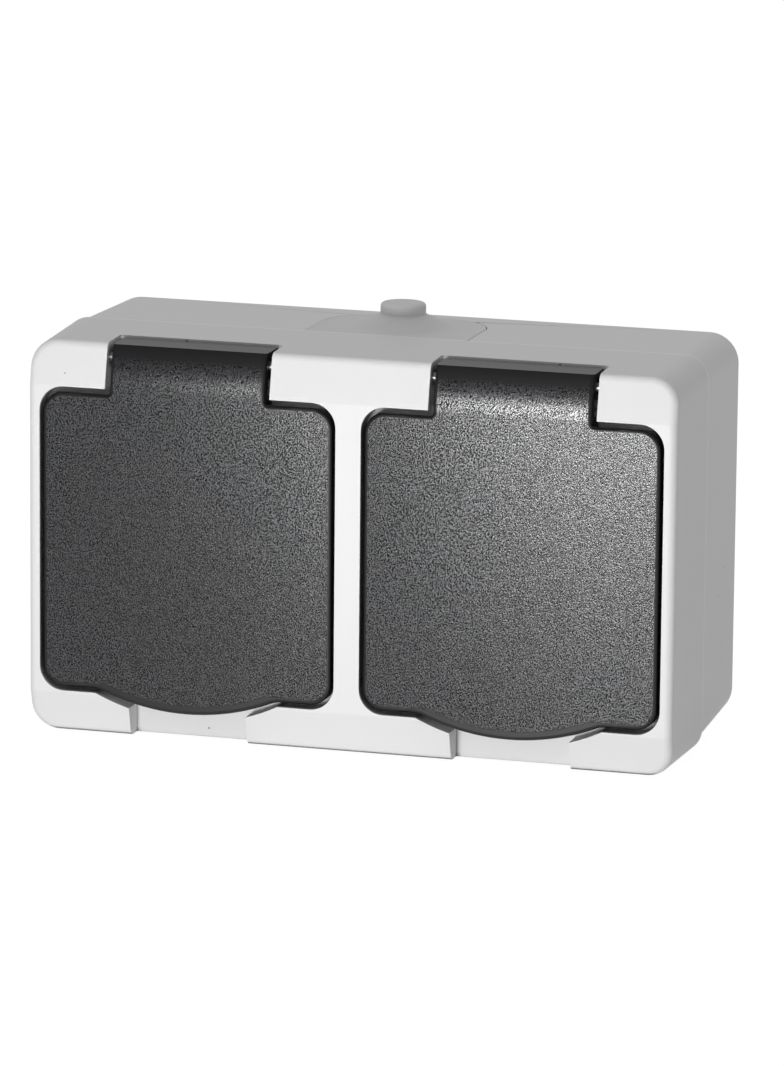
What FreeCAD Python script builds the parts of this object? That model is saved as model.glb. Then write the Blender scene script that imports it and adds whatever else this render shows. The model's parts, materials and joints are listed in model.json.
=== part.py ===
import FreeCAD, Part
import math
import os
import types
import Sketcher
from FreeCAD import Placement, Rotation, Vector

# Weatherproof double socket for a wall: a light grey box and cover, and two grained flap lids.
# X points right, Y points into the wall and Z up. The origin is the middle of the wall face.
# "Out" is a distance from the wall, against Y. "Deep" is a distance behind the front face.

DRIVING_SIZES = [
    ("overall_depth", 55.0, "wall face to front face"),
    ("socket_pitch", 68.0, "between the two socket centres"),
    ("cover_depth", 25.5, "front face to the parting line"),
    ("parting_width", 136.26, "cover at the parting line"),
    ("parting_height", 82.4, "cover at the parting line"),
    ("parting_corner", 5.1, "corner radius there"),
    ("front_width", 135.56, "cover at its front face"),
    ("front_height", 81.56, "cover at its front face"),
    ("front_corner", 5.8, "corner radius there"),
    ("side_round", 1.6, "rounding of the cover's side front edges"),
    ("cover_wall", 2.4, "side walls of the cover"),
    ("lean_start_top", 31.7, "height at which the front starts to lean back"),
    ("lean_top", 2.04, "how far the top front edge leans back"),
    ("lean_start_low", 32.3, "the same below the middle"),
    ("lean_low", 2.44, "how far the bottom front edge leans back"),
    ("base_step_side", 0.4, "base box inside the cover at the parting line, each side"),
    ("base_step_top", 0.25, "the same, top and bottom"),
    ("base_rear_width", 134.8, "base box at the wall"),
    ("base_rear_height", 80.7, "base box at the wall"),
    ("base_corner", 5.4, "corner radius at the parting line"),
    ("base_rear_corner", 6.2, "corner radius at the wall"),
    ("base_wall", 2.8, "side walls of the base box"),
    ("back_wall", 2.6, "thickness of the wall plate"),
    ("recess_width", 62.74, "lid recess"),
    ("recess_top", 31.6, "shoulder of the recess above the socket centre"),
    ("recess_low", 31.9, "straight bottom edge below the socket centre"),
    ("recess_corner", 5.1, "corner radius of the recess"),
    ("recess_deep", 6.4, "recess floor behind the front face"),
    ("recess_floor", 2.0, "thickness of the recess floor"),
    ("lip_chord", 38.8, "width of the round lip in the bottom edge"),
    ("lip_drop", 4.8, "how far that lip drops"),
    ("scoop_width", 24.94, "finger scoop under the lid"),
    ("notch_width", 34.86, "notch for the lid's hinge tab"),
    ("notch_deep", 10.3, "rear wall of the notch behind the front face"),
    ("hinge_wall", 2.0, "walls behind and beside the notch"),
    ("hinge_deep", 4.4, "hinge axis behind the front face"),
    ("hinge_height", 37.6, "hinge axis above the socket centre"),
    ("pin_radius", 1.0, "hinge pin"),
    ("pin_seat", 2.8, "how far the pin reaches into each cheek"),
    ("pin_clearance", 0.05, "radial running clearance on the pin"),
    ("lid_gap_side", 0.7, "gap beside the lid"),
    ("lid_gap_top", 1.1, "gap above the lid's shoulders"),
    ("lid_gap_low", 0.9, "gap below the lid"),
    ("lid_lip_chord", 38.0, "width of the lid's round lip"),
    ("lid_lip_drop", 4.1, "how far the lid's lip drops"),
    ("lid_lip_blend", 6.0, "soft inner corners beside the lid's lip"),
    ("lid_plate", 2.2, "thickness of the lid"),
    ("lid_skirt", 5.0, "depth of the lid with its skirt"),
    ("skirt_wall", 1.5, "thickness of the skirt"),
    ("lid_round", 0.8, "rounding of the lid's front edge"),
    ("tab_width", 32.8, "hinge tab of the lid"),
    ("tab_rear_deep", 9.5, "rear edge of the tab behind the front face"),
    ("tab_top", 40.62, "top of the tab above the socket centre"),
    ("tab_wall", 1.1, "top wall of the tab"),
    ("tab_round", 0.6, "rounding of the tab's top edges"),
    ("tab_corner", 0.9, "inner corners between the tab and the shoulders"),
    ("spring_room", 2.1, "free radius around the pin between the knuckles"),
    ("knuckle_radius", 2.6, "hinge knuckles inside the tab"),
    ("knuckle_length", 9.0, "length of each knuckle"),
    ("swing_clearance", 0.7, "room for the lid as it swings"),
    ("lid_gasket_outer", 25.5, "outer radius of the soft ring on the lid"),
    ("lid_gasket_width", 3.0, "width of that ring"),
    ("seal_gap", 0.3, "between that ring and the cup at rest"),
    ("cup_rim_deep", 3.8, "front of the cup behind the front face"),
    ("cup_flange_radius", 26.5, "flange of the cup"),
    ("cup_flange", 1.8, "thickness of the flange"),
    ("cup_radius", 19.5, "inside of the cup"),
    ("cup_wall", 1.8, "wall of the cup"),
    ("cup_depth", 17.5, "rim to cup floor"),
    ("cup_floor", 2.4, "thickness of the cup floor"),
    ("cup_clearance", 0.3, "between the cup and the cover's hole"),
    ("key_width", 5.0, "guide keys at the sides of the cup"),
    ("key_height", 1.9, "how far the keys stand in"),
    ("contact_pitch", 19.0, "between the two pin holes"),
    ("contact_hole_radius", 2.5, "pin holes in the cup floor"),
    ("window_width", 6.4, "windows for the earth clips"),
    ("window_length", 11.5, "their length along the cup"),
    ("window_deep", 8.9, "their front end behind the front face"),
    ("earth_width", 5.0, "earth clip fingers"),
    ("earth_sheet", 0.8, "sheet of the earth clip"),
    ("earth_reach", 17.9, "contact point of the clip from the cup's axis"),
    ("carrier_width", 114.0, "carrier of the live parts"),
    ("carrier_height", 39.0, "its height"),
    ("carrier_floor", 1.5, "its floor behind the wells"),
    ("pin_length", 19.0, "plug pins that the wells have room for"),
    ("live_gap", 2.0, "air between live and earthed metal"),
    ("bar_height", 7.5, "live bars above and below the pin holes"),
    ("bar_sheet", 1.0, "sheet of the bars"),
    ("bar_depth", 6.0, "width of the bars"),
    ("sleeve_radius", 2.55, "bore of the pin sleeves"),
    ("sleeve_wall", 0.8, "wall of the pin sleeves"),
    ("sleeve_length", 9.0, "length of the pin sleeves"),
    ("terminal_side", 7.0, "terminal blocks"),
    ("terminal_depth", 8.0, "their depth"),
    ("terminal_pitch", 14.0, "between the line and neutral terminals"),
    ("terminal_margin", 1.0, "from the earth terminal to the carrier's edge"),
    ("terminal_screw_radius", 1.4, "shank of the terminal screws"),
    ("terminal_screw_head", 2.3, "head radius of the terminal screws"),
    ("screw_radius", 1.45, "shank of the centre and carrier screws"),
    ("screw_head", 2.9, "head radius of those screws"),
    ("screw_head_height", 1.8, "head height of those screws"),
    ("screw_slot", 0.9, "width and depth of the slots in the screw heads"),
    ("boss_radius", 2.9, "threaded boss of the earth clip"),
    ("boss_height", 2.9, "its height"),
    ("carrier_screw_grip", 7.0, "length of the carrier screws in their posts"),
    ("cup_screw_length", 10.0, "under the head"),
    ("carrier_screw_pitch_x", 107.0, "carrier screws, left to right"),
    ("carrier_screw_pitch_z", 30.0, "carrier screws, bottom to top"),
    ("post_radius", 3.6, "posts that the carrier stands on"),
    ("wall_slot_pitch_x", 90.0, "wall screw slots, left to right"),
    ("wall_slot_pitch_z", 61.0, "wall screw slots, bottom to top"),
    ("wall_slot_radius", 2.2, "half the slot's width"),
    ("wall_slot_length", 9.0, "end to end"),
    ("gasket_width", 1.2, "housing gasket"),
    ("gasket_height", 1.4, "its height in the groove"),
    ("entry_width", 34.4, "cable grommet"),
    ("entry_deep", 25.0, "how far the grommet reaches behind the parting line"),
    ("entry_corner", 10.0, "corner radius of the grommet"),
    ("entry_gap", 0.1, "between grommet and box"),
    ("entry_flange", 1.6, "inner flange of the grommet"),
    ("cone_radius", 10.4, "foot of the grommet's cone"),
    ("cone_height", 2.5, "height of the cone"),
    ("nipple_deep", 14.3, "axis of the nipple behind the parting line"),
    ("nipple_radius", 4.7, "nipple"),
    ("nipple_height", 2.4, "above the cone"),
    ("nipple_round", 0.8, "rounded edge of the nipple"),
    ("knockout_radius", 10.0, "breakout for a cable in the bottom"),
    ("knockout_groove", 0.9, "width of its groove"),
    ("spring_wire", 0.6, "wire of the lid springs"),
    ("spring_clearance", 0.15, "between the spring and the pin"),
    ("spring_turns", 4.0, "turns of the lid springs"),
    ("spring_step", 0.85, "from turn to turn"),
    ("spring_lid_leg", 4.2, "spring leg under the lid's tab"),
    ("spring_fixed_leg", 6.3, "spring leg on the floor of the notch"),
]

doc = FreeCAD.newDocument("double_socket")
sheet = doc.addObject("Spreadsheet::Sheet", "Sizes")


class Size:
    """A length that knows its number and the formula that gives it in the sheet."""

    def __init__(self, number, formula):
        self.number = number
        self.formula = formula

    def __add__(self, other):
        return joined(self, "+", other, self.number + number_of(other))

    def __sub__(self, other):
        return joined(self, "-", other, self.number - number_of(other))

    def __mul__(self, other):
        return joined(self, "*", other, self.number * number_of(other))

    def __truediv__(self, other):
        return joined(self, "/", other, self.number / number_of(other))

    def __radd__(self, other):
        return size(other) + self

    def __rsub__(self, other):
        return size(other) - self

    def __rmul__(self, other):
        return size(other) * self

    def __neg__(self):
        return size(0) - self


def number_of(value):
    """The plain number in a size, or the number itself."""
    return value.number if isinstance(value, Size) else float(value)


def size(value):
    """Any number as a size."""
    return value if isinstance(value, Size) else Size(float(value), f"({float(value)})")


def root(value):
    """The square root of a size."""
    return Size(math.sqrt(value.number), f"sqrt({value.formula})")


def joined(left, sign, right, number):
    """Two sizes joined by a sign."""
    return Size(number, f"({left.formula} {sign} {size(right).formula})")


def fill_sheet():
    """Writes the driving sizes into the sheet and returns them by name."""
    for row, (name, value, note) in enumerate(DRIVING_SIZES, start=1):
        sheet.set(f"A{row}", name)
        sheet.set(f"B{row}", str(value))
        sheet.setAlias(f"B{row}", name)
        sheet.set(f"C{row}", note)
    doc.recompute()
    return {name: Size(float(sheet.get(name)), f"Sizes.{name}") for name, _, _ in DRIVING_SIZES}


d = types.SimpleNamespace(**fill_sheet())


def bind(thing, prop, value):
    """Ties one property of an object to its formula."""
    thing.setExpression(prop, size(value).formula)


def deep(value):
    """The distance out from the wall of a point that lies so deep behind the front face."""
    return d.overall_depth - value


# Sketching: every point of a sketch is held by the sheet.


def hold(sketch, kind, number, *places):
    """Adds one named dimension and ties it to its formula."""
    index = sketch.addConstraint(Sketcher.Constraint(kind, *places, number_of(number)))
    name = f"dim{index}"
    sketch.renameConstraint(index, name)
    bind(sketch, f"Constraints.{name}", number)


def hold_point(sketch, geometry, end, x, y):
    """Holds one end of a line or arc, or the centre of a circle, from the sketch's origin."""
    hold(sketch, "DistanceX", x, -1, 1, geometry, end)
    hold(sketch, "DistanceY", y, -1, 1, geometry, end)


def draw_circle(sketch, x, y, radius):
    """A circle."""
    centre = Vector(number_of(x), number_of(y), 0)
    circle = sketch.addGeometry(Part.Circle(centre, Vector(0, 0, 1), number_of(radius)))
    hold_point(sketch, circle, 3, x, y)
    hold(sketch, "Radius", radius, circle)


def draw_outline(sketch, corners):
    """A closed outline of straight lines and arcs, corner by corner.

    A corner is (x, y), or (x, y, radius) where an arc of that radius, bulging to the right of
    the way round, leads on to the next corner, or to the left where the radius is negative."""
    first = None
    last = None
    for index, corner in enumerate(corners):
        following = corners[(index + 1) % len(corners)]
        start = Vector(number_of(corner[0]), number_of(corner[1]), 0)
        end = Vector(number_of(following[0]), number_of(following[1]), 0)
        if len(corner) == 3:
            turns_left = number_of(corner[2]) > 0
            middle = arc_middle(start, end, number_of(corner[2]))
            edge = sketch.addGeometry(Part.Arc(start, middle, end))
            tail, head = (1, 2) if turns_left else (2, 1)
            hold(sketch, "Radius", corner[2] if turns_left else -corner[2], edge)
        else:
            edge = sketch.addGeometry(Part.LineSegment(start, end))
            tail, head = 1, 2
        if last is None:
            first = (edge, tail)
        else:
            sketch.addConstraint(Sketcher.Constraint("Coincident", *last, edge, tail))
        hold_point(sketch, edge, tail, corner[0], corner[1])
        last = (edge, head)
    sketch.addConstraint(Sketcher.Constraint("Coincident", *last, *first))


def arc_middle(start, end, radius):
    """The middle of the arc of a radius between two points."""
    chord = end - start
    half = chord.Length / 2
    rise = abs(radius) - math.sqrt(max(radius * radius - half * half, 0.0))
    side = Vector(chord.y, -chord.x, 0).normalize() * math.copysign(rise, radius)
    return start + chord * 0.5 + side


def draw_rounded(sketch, left, right, low, top, radius):
    """A rectangle whose four corners are rounded."""
    xs = [number_of(left), number_of(right)]
    ys = [number_of(low), number_of(top)]
    r = number_of(radius)
    lines = [
        ((xs[0] + r, ys[0]), (xs[1] - r, ys[0])),
        ((xs[1], ys[0] + r), (xs[1], ys[1] - r)),
        ((xs[1] - r, ys[1]), (xs[0] + r, ys[1])),
        ((xs[0], ys[1] - r), (xs[0], ys[0] + r)),
    ]
    centres = [
        (xs[1] - r, ys[0] + r),
        (xs[1] - r, ys[1] - r),
        (xs[0] + r, ys[1] - r),
        (xs[0] + r, ys[0] + r),
    ]
    edges = [sketch.addGeometry(Part.LineSegment(Vector(*a, 0), Vector(*b, 0))) for a, b in lines]
    arcs = []
    for index, centre in enumerate(centres):
        circle = Part.Circle(Vector(*centre, 0), Vector(0, 0, 1), r)
        start = (index - 1) * math.pi / 2
        arcs.append(sketch.addGeometry(Part.ArcOfCircle(circle, start, start + math.pi / 2)))
    for index in range(4):
        following = edges[(index + 1) % 4]
        sketch.addConstraint(Sketcher.Constraint("Tangent", edges[index], 2, arcs[index], 1))
        sketch.addConstraint(Sketcher.Constraint("Tangent", arcs[index], 2, following, 1))
    for level, upright in ((edges[0], edges[1]), (edges[2], edges[3])):
        sketch.addConstraint(Sketcher.Constraint("Horizontal", level))
        sketch.addConstraint(Sketcher.Constraint("Vertical", upright))
    for arc in arcs[1:]:
        sketch.addConstraint(Sketcher.Constraint("Equal", arcs[0], arc))
    hold(sketch, "Radius", radius, arcs[0])
    hold(sketch, "DistanceY", low, -1, 1, edges[0], 1)
    hold(sketch, "DistanceX", right, -1, 1, edges[1], 1)
    hold(sketch, "DistanceY", top, -1, 1, edges[2], 1)
    hold(sketch, "DistanceX", left, -1, 1, edges[3], 1)


def draw_box(sketch, left, right, low, top):
    """A rectangle with square corners."""
    draw_outline(sketch, [(left, low), (right, low), (right, top), (left, top)])


class Piece:
    """One moulded or stamped piece: a body that grows feature by feature."""

    def __init__(self, label):
        self.body = doc.addObject("PartDesign::Body", label)
        self.body.Label = label
        self.label = label

    def sketch(self, role, lift):
        """A sketch parallel to one of the body's planes, lifted along that plane's normal."""
        plane = next(p for p in self.body.Origin.OriginFeatures if p.Role == role)
        sketch = self.body.newObject("Sketcher::SketchObject", f"{self.label}_sketch")
        sketch.AttachmentSupport = [(plane, "")]
        sketch.MapMode = "FlatFace"
        bind(sketch, "AttachmentOffset.Base.z", lift)
        return sketch

    def front(self, out):
        """A sketch parallel to the wall, so far out from it. Its own axes are X and Z."""
        return self.sketch("XZ_Plane", out)

    def side(self, x):
        """A sketch square to X. Its own axes are Y and Z."""
        return self.sketch("YZ_Plane", x)

    def feature(self, kind, sketch, length, backwards):
        """A pad or pocket of one sketch."""
        feature = self.body.newObject(f"PartDesign::{kind}", f"{self.label}_{kind.lower()}")
        feature.Profile = sketch
        bind(feature, "Length", length)
        feature.Reversed = backwards
        return feature

    def pad(self, sketch, length, backwards=False):
        """Adds material along the sketch's normal, or against it."""
        return self.feature("Pad", sketch, length, backwards)

    def pocket(self, sketch, length, backwards=False):
        """Takes material away against the sketch's normal, or along it."""
        return self.feature("Pocket", sketch, length, backwards)

    def loft(self, sketches):
        """Adds a straight-sided loft from the first sketch to the last."""
        feature = self.body.newObject("PartDesign::AdditiveLoft", f"{self.label}_loft")
        feature.Profile = sketches[0]
        feature.Sections = sketches[1:]
        feature.Ruled = True
        return feature

    def dress(self, kind, amount, chosen):
        """Fillets or chamfers every edge of the body so far that the test chooses."""
        doc.recompute()
        tip = self.body.Tip
        names = [f"Edge{i}" for i, edge in enumerate(tip.Shape.Edges, start=1) if chosen(edge)]
        feature = self.body.newObject(f"PartDesign::{kind}", f"{self.label}_{kind.lower()}")
        feature.Base = (tip, names)
        bind(feature, "Radius" if kind == "Fillet" else "Size", amount)
        return feature


def box_of(edge):
    """The bounding box of an edge."""
    return edge.BoundBox


# Primitive pieces, for what is turned or stamped.


def place(thing, x, out, z, axis="up"):
    """Puts a primitive at X, so far out from the wall, and Z, with its axis turned that way."""
    turns = {
        "up": Rotation(),
        "outwards": Rotation(Vector(1, 0, 0), 90),
        "sideways": Rotation(Vector(0, 1, 0), 90),
    }
    thing.Placement = Placement(Vector(0, 0, 0), turns[axis])
    bind(thing, "Placement.Base.x", x)
    bind(thing, "Placement.Base.y", -out)
    bind(thing, "Placement.Base.z", z)


def block(label, x_range, out_range, z_range):
    """A box between two limits each way."""
    thing = doc.addObject("Part::Box", label)
    bind(thing, "Length", x_range[1] - x_range[0])
    bind(thing, "Width", out_range[1] - out_range[0])
    bind(thing, "Height", z_range[1] - z_range[0])
    place(thing, x_range[0], out_range[1], z_range[0])
    return thing


def rod(label, radius, length, x, out, z, axis):
    """A round bar that starts at a point and runs along an axis."""
    thing = doc.addObject("Part::Cylinder", label)
    bind(thing, "Radius", radius)
    bind(thing, "Height", length)
    place(thing, x, out, z, axis)
    return thing


def united(label, things):
    """Several overlapping primitives made one."""
    thing = doc.addObject("Part::MultiFuse", label)
    thing.Shapes = things
    thing.Refine = True
    return thing


def without(label, base, tools):
    """A piece with one or more others cut out of it."""
    tool = tools[0] if len(tools) == 1 else united(f"{label}_cut_tool", tools)
    thing = doc.addObject("Part::Cut", label)
    thing.Base = base
    thing.Tool = tool
    thing.Refine = True
    return thing


def group(label, things):
    """Equal fasteners that stay separate solids."""
    thing = doc.addObject("Part::Compound", label)
    thing.Links = things
    return thing


def ring(label, outer, width, height, x, out, z):
    """A flat ring whose axis points out from the wall."""
    body = rod(f"{label}_disc", outer, height, x, out, z, "outwards")
    hole = rod(f"{label}_hole", outer - width, height, x, out, z, "outwards")
    return without(label, body, [hole])


# Places that several pieces share.

HALF_PITCH = d.socket_pitch / 2
SIDES = [("left", -HALF_PITCH), ("right", HALF_PITCH)]
PARTING = d.overall_depth - d.cover_depth
FLOOR_FRONT = deep(d.recess_deep)
FLOOR_BACK = FLOOR_FRONT - d.recess_floor
CUP_FRONT = deep(d.cup_rim_deep)
CUP_FLOOR_FRONT = CUP_FRONT - d.cup_depth
CUP_BACK = CUP_FLOOR_FRONT - d.cup_floor
CUP_OUTSIDE = d.cup_radius + d.cup_wall
CARRIER_FRONT = CUP_BACK
HINGE_OUT = deep(d.hinge_deep)
PIN_HOLE = d.pin_radius + d.pin_clearance
BASE_TOP = d.parting_height / 2 - d.base_step_top
OVERSHOOT = size(1.0)
NEAR = 0.01
SPRING_PART_TURN = 0.375
WIRE_SIDES = 6
CONTACT_OFFSET = d.contact_pitch / 2
LINE_PLACES = [-HALF_PITCH - CONTACT_OFFSET, HALF_PITCH - CONTACT_OFFSET]
NEUTRAL_PLACES = [-HALF_PITCH + CONTACT_OFFSET, HALF_PITCH + CONTACT_OFFSET]
PLAY = size(0.3)
SLEEVE_OUTSIDE = d.sleeve_radius + d.sleeve_wall
WELL_DEPTH = d.pin_length - d.cup_floor + PLAY
CARRIER_DEPTH = WELL_DEPTH + d.carrier_floor
CARRIER_BACK = CARRIER_FRONT - CARRIER_DEPTH
EARTH_FRONT = CARRIER_FRONT - d.earth_sheet
BAR_FRONT = EARTH_FRONT - d.bar_sheet - d.live_gap
BAR_BACK = BAR_FRONT - d.bar_depth
EARTH_RAIL = d.carrier_height / 2 - d.terminal_side / 2 - d.terminal_margin
SCREW_HOLE = d.screw_radius + d.pin_clearance
TERMINAL_HOLE = d.terminal_screw_radius + d.pin_clearance
GASKET_INSET = (d.base_wall - d.gasket_width) / 2


def four_places(pitch_x, pitch_z):
    """The four corners of a centred rectangle."""
    return [(pitch_x / 2 * i, pitch_z / 2 * j) for i in (-1, 1) for j in (-1, 1)]


def rounded_between(sketch, width, height, radius):
    """A centred rounded rectangle."""
    draw_rounded(sketch, -width / 2, width / 2, -height / 2, height / 2, radius)


def make_front_cover():
    """The front shell: drafted walls, two T-shaped recesses, hinge notches and finger scoops."""
    piece = Piece("front_cover")
    rear = piece.front(PARTING)
    rounded_between(rear, d.parting_width, d.parting_height, d.parting_corner)
    face = piece.front(d.overall_depth)
    rounded_between(face, d.front_width, d.front_height, d.front_corner)
    piece.loft([rear, face])
    lean_back(piece, d.lean_start_top, d.front_height / 2, d.lean_top, 1)
    lean_back(piece, d.lean_start_low, d.front_height / 2, d.lean_low, -1)
    round_front_edges(piece)
    hollow = piece.front(PARTING)
    inner_width = d.parting_width - 2 * d.cover_wall
    inner_height = d.parting_height - 2 * d.cover_wall
    rounded_between(hollow, inner_width, inner_height, d.parting_corner - d.cover_wall)
    piece.pocket(hollow, FLOOR_BACK - PARTING, backwards=True)
    for _, x in SIDES:
        hinge_box(piece, x)
    for _, x in SIDES:
        cut_recess(piece, x)
    return piece.body


def lean_back(piece, start, edge, amount, way):
    """Cuts the sloping strip above or below the flat of the front face."""
    reach = edge - start + OVERSHOOT
    sketch = piece.side(-d.parting_width)
    near = d.overall_depth
    corners = [
        (-near, start * way),
        (-near + amount * reach / (edge - start), (start + reach) * way),
        (-near - OVERSHOOT, (start + reach) * way),
        (-near - OVERSHOOT, start * way),
    ]
    draw_outline(sketch, corners)
    piece.pocket(sketch, d.parting_width * 2, backwards=True)


def round_front_edges(piece):
    """Rounds the side edges of the front face and its corners. The top and bottom stay crisp."""
    side_line = (d.front_width / 2 - d.front_corner).number
    front_line = -deep(d.lean_low + OVERSHOOT / 2).number

    def at_side(edge):
        box = box_of(edge)
        beside = min(abs(box.XMin), abs(box.XMax)) > side_line - NEAR
        return beside and box.YMax < front_line

    piece.dress("Fillet", d.side_round, at_side)


def hinge_box(piece, x):
    """The block behind the front face that the hinge notch is cut in."""
    half = d.notch_width / 2 + d.hinge_wall + d.pin_seat / 2
    low = d.recess_top - d.hinge_wall
    sketch = piece.front(FLOOR_BACK)
    top = d.parting_height / 2 - d.cover_wall / 2
    draw_box(sketch, x - half, x + half, low, top)
    piece.pad(sketch, FLOOR_BACK - deep(d.notch_deep + d.hinge_wall), backwards=True)


def cut_recess(piece, x):
    """One lid's recess with its lip, scoop, hinge notch, cup hole and pin holes."""
    face = d.overall_depth
    half = d.recess_width / 2
    recess = piece.front(face)
    draw_rounded(recess, x - half, x + half, -d.recess_low, d.recess_top, d.recess_corner)
    piece.pocket(recess, d.recess_deep)
    chord = d.lip_chord / 2
    radius = (chord * chord + d.lip_drop * d.lip_drop) / (d.lip_drop * 2)
    lip = piece.front(face)
    middle = -d.recess_low + d.recess_corner
    low = -d.recess_low
    draw_outline(lip, [(x - chord, low, radius), (x + chord, low), (x + chord, middle), (x - chord, middle)])
    piece.pocket(lip, d.recess_deep)
    scoop = piece.front(face)
    reach = d.scoop_width / 2
    bottom = -d.parting_height / 2 - OVERSHOOT
    draw_box(scoop, x - reach, x + reach, bottom, middle)
    piece.pocket(scoop, d.recess_deep)
    notch = piece.front(face)
    reach = d.notch_width / 2
    top = d.parting_height / 2 + OVERSHOOT
    draw_box(notch, x - reach, x + reach, d.recess_top, top)
    piece.pocket(notch, d.notch_deep)
    shoulder = piece.front(face)
    low = d.recess_top - d.recess_corner
    draw_box(shoulder, x - reach, x + reach, low, d.recess_top + OVERSHOOT)
    piece.pocket(shoulder, d.recess_deep)
    hole = piece.front(FLOOR_FRONT)
    draw_circle(hole, x, 0, CUP_OUTSIDE + d.cup_clearance)
    piece.pocket(hole, d.recess_floor)
    seats = piece.side(x + d.notch_width / 2 + d.pin_seat)
    draw_circle(seats, -HINGE_OUT, d.hinge_height, PIN_HOLE)
    piece.pocket(seats, d.notch_width + 2 * d.pin_seat)


def make_base_box():
    """The rear box: drafted walls, posts, wall slots, gasket groove and cable openings."""
    piece = Piece("base_box")
    rear = piece.front(0)
    rounded_between(rear, d.base_rear_width, d.base_rear_height, d.base_rear_corner)
    width = d.parting_width - 2 * d.base_step_side
    height = 2 * BASE_TOP
    rim = piece.front(PARTING)
    rounded_between(rim, width, height, d.base_corner)
    piece.loft([rear, rim])
    hollow = piece.front(PARTING)
    inner = d.base_corner - d.base_wall
    rounded_between(hollow, width - 2 * d.base_wall, height - 2 * d.base_wall, inner)
    piece.pocket(hollow, PARTING - d.back_wall)
    posts = piece.front(d.back_wall)
    for x, z in four_places(d.carrier_screw_pitch_x, d.carrier_screw_pitch_z):
        draw_circle(posts, x, z, d.post_radius)
    piece.pad(posts, CARRIER_BACK - d.back_wall)
    threads = piece.front(CARRIER_BACK)
    for x, z in four_places(d.carrier_screw_pitch_x, d.carrier_screw_pitch_z):
        draw_circle(threads, x, z, SCREW_HOLE)
    piece.pocket(threads, CARRIER_BACK - d.back_wall)
    cut_wall_slots(piece)
    groove = piece.front(PARTING)
    inset = 2 * GASKET_INSET
    draw_gasket(groove, width - inset, height - inset, d.base_corner - GASKET_INSET)
    piece.pocket(groove, d.gasket_height)
    entry = piece.sketch("XY_Plane", BASE_TOP - d.base_wall - OVERSHOOT)
    draw_entry(entry, d.entry_width / 2 + d.entry_gap, -PARTING, -PARTING + d.entry_deep + d.entry_gap)
    piece.pocket(entry, d.base_wall + 2 * OVERSHOOT, backwards=True)
    cut_knockout(piece)
    return piece.body


def cut_wall_slots(piece):
    """The slots for the wall screws: straight middles first, then their round ends."""
    middles = piece.front(d.back_wall)
    ends = piece.front(d.back_wall)
    reach = d.wall_slot_length / 2 - d.wall_slot_radius
    half = d.wall_slot_radius
    for x, z in four_places(d.wall_slot_pitch_x, d.wall_slot_pitch_z):
        draw_box(middles, x - reach, x + reach, z - half, z + half)
        for end in (x - reach, x + reach):
            draw_circle(ends, end, z, half)
    piece.pocket(middles, d.back_wall + OVERSHOOT)
    piece.pocket(ends, d.back_wall + OVERSHOOT)


def draw_gasket(sketch, width, height, radius):
    """The gasket's outline: one rounded rectangle in another."""
    rounded_between(sketch, width, height, radius)
    inner = 2 * d.gasket_width
    rounded_between(sketch, width - inner, height - inner, radius - d.gasket_width)


def draw_entry(sketch, half, front, rear):
    """The grommet's outline: straight in front, with two round corners behind."""
    corner = d.entry_corner
    corners = [
        (-half, front),
        (half, front),
        (half, rear - corner, corner),
        (half - corner, rear),
        (corner - half, rear, corner),
        (-half, rear - corner),
    ]
    draw_outline(sketch, corners)


def cut_knockout(piece):
    """The round groove of a cable breakout in the bottom wall."""
    sketch = piece.sketch("XY_Plane", -BASE_TOP)
    middle = -PARTING / 2
    draw_circle(sketch, 0, middle, d.knockout_radius)
    draw_circle(sketch, 0, middle, d.knockout_radius - d.knockout_groove)
    piece.pocket(sketch, d.base_wall / 2, backwards=True)


def make_housing_gasket():
    """The seal ring in the base box's rim."""
    piece = Piece("housing_gasket")
    inset = 2 * GASKET_INSET
    width = d.parting_width - 2 * d.base_step_side - inset
    sketch = piece.front(PARTING - d.gasket_height)
    draw_gasket(sketch, width, 2 * BASE_TOP - inset, d.base_corner - GASKET_INSET)
    piece.pad(sketch, d.gasket_height)
    return piece.body


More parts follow.
